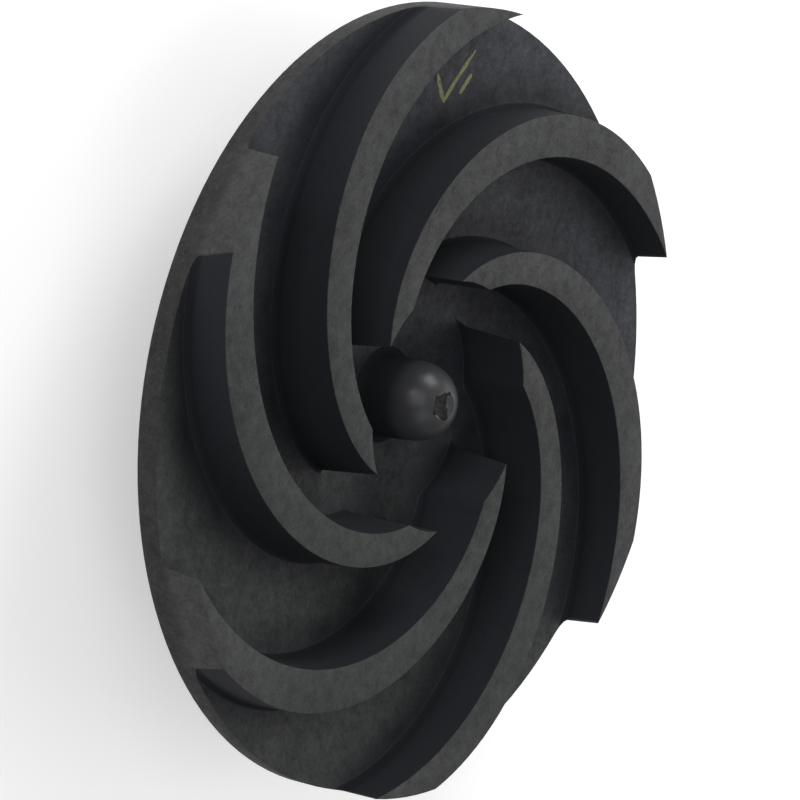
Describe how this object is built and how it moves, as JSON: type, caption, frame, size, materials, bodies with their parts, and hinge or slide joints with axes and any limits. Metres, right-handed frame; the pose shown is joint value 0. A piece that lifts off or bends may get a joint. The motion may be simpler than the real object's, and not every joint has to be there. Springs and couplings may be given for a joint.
{
  "type": "pump impeller",
  "caption": "Open-faced centrifugal pump impeller moulded in dark plastic, with backward-curved vanes on a dished plate, a round nose in its eye and a threaded boss on its back",
  "frame": {"origin": "On the shaft axis, at the end face of the boss on the impeller's back, which it lies on", "axes": "+Z runs along the shaft towards the suction eye and the vanes' flat fronts. +X runs through the point where one vane's concave wall meets the rim at the front plane. +Y follows by the right-hand rule"},
  "size_m": [0.133, 0.133, 0.0354],
  "materials": {
    "impeller": "dark charcoal, satin, with dull granular grey on the vanes' flat fronts and on the rim"
  },
  "bodies": {
    "root": {"impeller": "impeller"}
  },
  "joints": []
}
